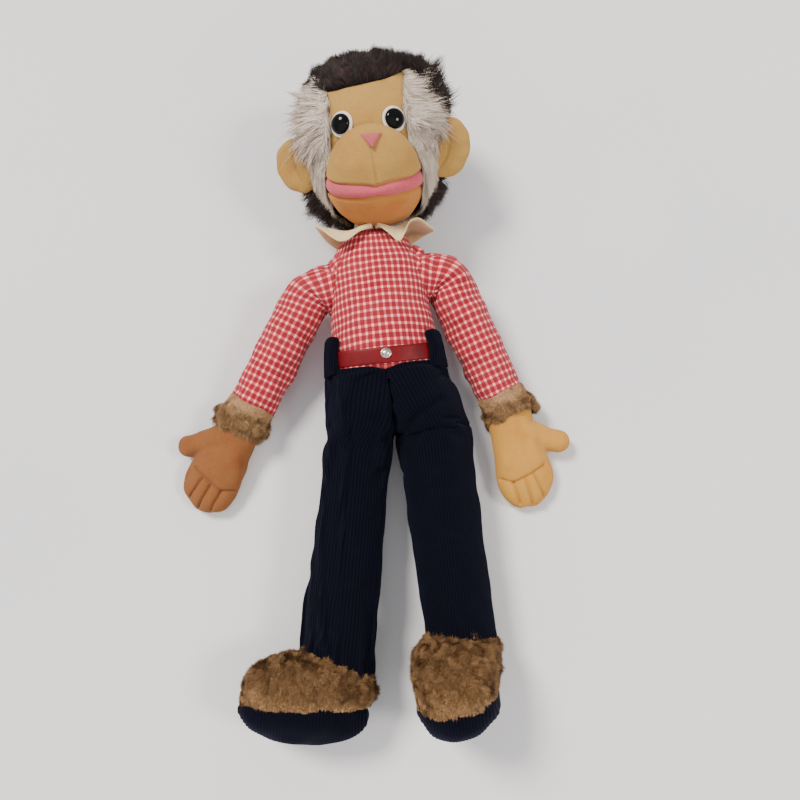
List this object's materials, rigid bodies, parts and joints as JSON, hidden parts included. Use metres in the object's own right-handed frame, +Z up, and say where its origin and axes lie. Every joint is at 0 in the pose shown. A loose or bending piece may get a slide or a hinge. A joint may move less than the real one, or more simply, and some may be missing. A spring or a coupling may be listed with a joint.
{
  "type": "stuffed monkey",
  "caption": "Stuffed monkey doll in a checked shirt, corduroy trousers and belt, lying on its back, with jointed neck, shoulders, wrists, hips and ankles.",
  "frame": {"origin": "on the resting surface, under the middle of the whole doll's box", "axes": "+X across the doll towards its own left side, +Y from its feet towards its head, +Z up out of its front"},
  "size_m": [0.2984, 0.5154, 0.1231],
  "materials": {
    "gingham": "matte",
    "corduroy": "matte",
    "velour": "matte",
    "tan_plush": "matte",
    "brown_fur": "matte",
    "white_fur": "matte",
    "cream_felt": "matte",
    "white_felt": "matte",
    "pink_felt": "matte",
    "red_vinyl": "satin",
    "nickel": "polished",
    "black_plastic": "gloss",
    "clear_plastic": "satin",
    "stuffing": "matte"
  },
  "bodies": {
    "torso": {"shirt_body": "gingham", "torso_stuffing": "stuffing", "pants_seat": "corduroy", "seat_stuffing": "stuffing", "belt": "red_vinyl", "belt_stud": "nickel", "stud_washer": "nickel", "waist_tab_left": "corduroy", "waist_tab_right": "corduroy", "collar_left": "cream_felt", "collar_right": "cream_felt"},
    "neck": {"neck_skin": "cream_felt", "neck_stuffing": "stuffing"},
    "head": {"forehead": "velour", "muzzle": "velour", "lips": "pink_felt", "chin": "velour", "side_fur_left": "white_fur", "side_fur_right": "white_fur", "back_fur": "brown_fur", "crown_fur": "brown_fur", "head_stuffing": "stuffing", "nose": "pink_felt", "eye_patch_left": "white_felt", "eye_patch_right": "white_felt", "eye_left": "black_plastic", "eye_right": "black_plastic", "eye_washer_left": "clear_plastic", "eye_washer_right": "clear_plastic", "ear_left": "velour", "ear_right": "velour"},
    "arm_left": {"sleeve_left": "gingham", "arm_stuffing_left": "stuffing", "cuff_left": "tan_plush"},
    "hand_left": {"hand_left": "velour", "hand_stuffing_left": "stuffing"},
    "leg_left": {"pant_leg_left": "corduroy", "leg_stuffing_left": "stuffing"},
    "foot_left": {"foot_upper_left": "tan_plush", "foot_sole_left": "corduroy", "foot_stuffing_left": "stuffing"},
    "arm_right": {"sleeve_right": "gingham", "arm_stuffing_right": "stuffing", "cuff_right": "tan_plush"},
    "hand_right": {"hand_right": "velour", "hand_stuffing_right": "stuffing"},
    "leg_right": {"pant_leg_right": "corduroy", "leg_stuffing_right": "stuffing"},
    "foot_right": {"foot_upper_right": "tan_plush", "foot_sole_right": "corduroy", "foot_stuffing_right": "stuffing"}
  },
  "joints": [
    {"name": "neck_nod", "type": "hinge", "parent": "torso", "child": "neck", "pos_m": [0.00192, 0.12195, 0.03451], "axis": [0.994, 0.1097, 0], "range_deg": [-9, 5]},
    {"name": "head_turn", "type": "hinge", "parent": "neck", "child": "head", "pos_m": [0.00192, 0.12195, 0.03451], "axis": [-0.095, 0.8608, 0.5], "range_deg": [-35, 35]},
    {"name": "shoulder_left", "type": "hinge", "parent": "torso", "child": "arm_left", "pos_m": [0.05469, 0.0951, 0.04025], "axis": [-0.994, -0.1097, 0], "range_deg": [-15, 100]},
    {"name": "wrist_left", "type": "hinge", "parent": "arm_left", "child": "hand_left", "pos_m": [0.10275, -0.00565, 0.01714], "axis": [-0.9838, -0.1702, 0.0559], "range_deg": [-20, 20]},
    {"name": "shoulder_right", "type": "hinge", "parent": "torso", "child": "arm_right", "pos_m": [-0.04372, 0.08424, 0.04025], "axis": [-0.994, -0.1097, 0], "range_deg": [-15, 100]},
    {"name": "wrist_right", "type": "hinge", "parent": "arm_right", "child": "hand_right", "pos_m": [-0.09526, -0.01478, 0.01714], "axis": [-0.9294, 0.3684, -0.0212], "range_deg": [-20, 20]},
    {"name": "hip_left", "type": "hinge", "parent": "torso", "child": "leg_left", "pos_m": [0.04603, -0.02694, 0.02683], "axis": [-0.994, -0.1097, 0], "range_deg": [-10, 85]},
    {"name": "ankle_left", "type": "hinge", "parent": "leg_left", "child": "foot_left", "pos_m": [0.06572, -0.1998, 0.02956], "axis": [-0.9837, -0.1143, -0.1392], "range_deg": [-8, 15]},
    {"name": "hip_right", "type": "hinge", "parent": "torso", "child": "leg_right", "pos_m": [-0.00864, -0.03298, 0.02683], "axis": [-0.994, -0.1097, 0], "range_deg": [-10, 85]},
    {"name": "ankle_right", "type": "hinge", "parent": "leg_right", "child": "foot_right", "pos_m": [-0.02229, -0.20642, 0.02956], "axis": [-0.1054, -0.0074, -0.9944], "range_deg": [-8, 15]}
  ]
}
